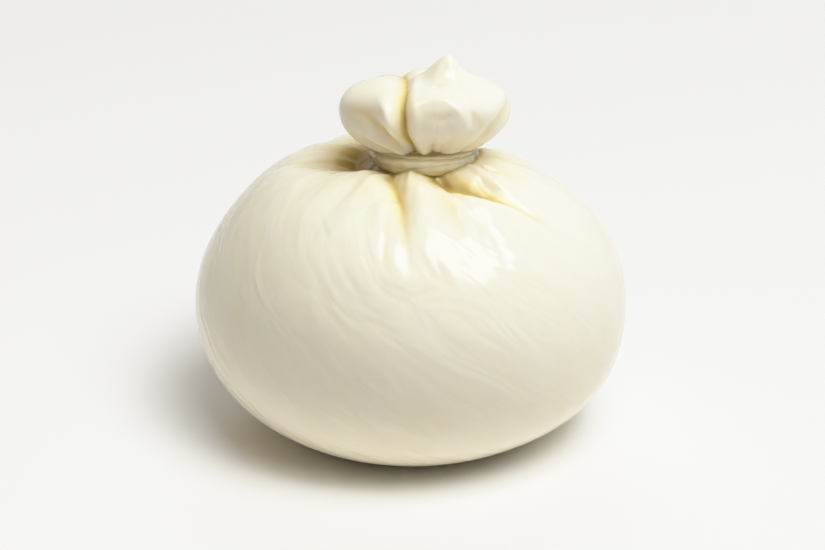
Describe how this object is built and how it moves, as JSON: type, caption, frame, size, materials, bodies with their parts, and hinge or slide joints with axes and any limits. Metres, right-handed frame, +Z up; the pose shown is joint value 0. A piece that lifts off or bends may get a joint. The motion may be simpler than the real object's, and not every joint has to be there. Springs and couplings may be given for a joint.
{
  "type": "burrata",
  "caption": "Whole fresh burrata, a soft round pouch of stretched curd gathered into a banded neck under a folded knob with a drawn-up peak.",
  "frame": {"origin": "middle of the flat spot that the burrata rests on, at the bottom centre of its bounding box", "axes": "+Z up from the floor to the knob, -Y towards the front with the deepest gathers, +X towards the side on which the neck and the peak stand"},
  "size_m": [0.0859, 0.0844, 0.0785],
  "materials": {
    "curd": "moist stretched curd: soft, smooth and ivory white, slightly translucent, with a wet sheen and straw yellow in the folds"
  },
  "bodies": {
    "root": {"pouch": "curd"}
  },
  "joints": []
}
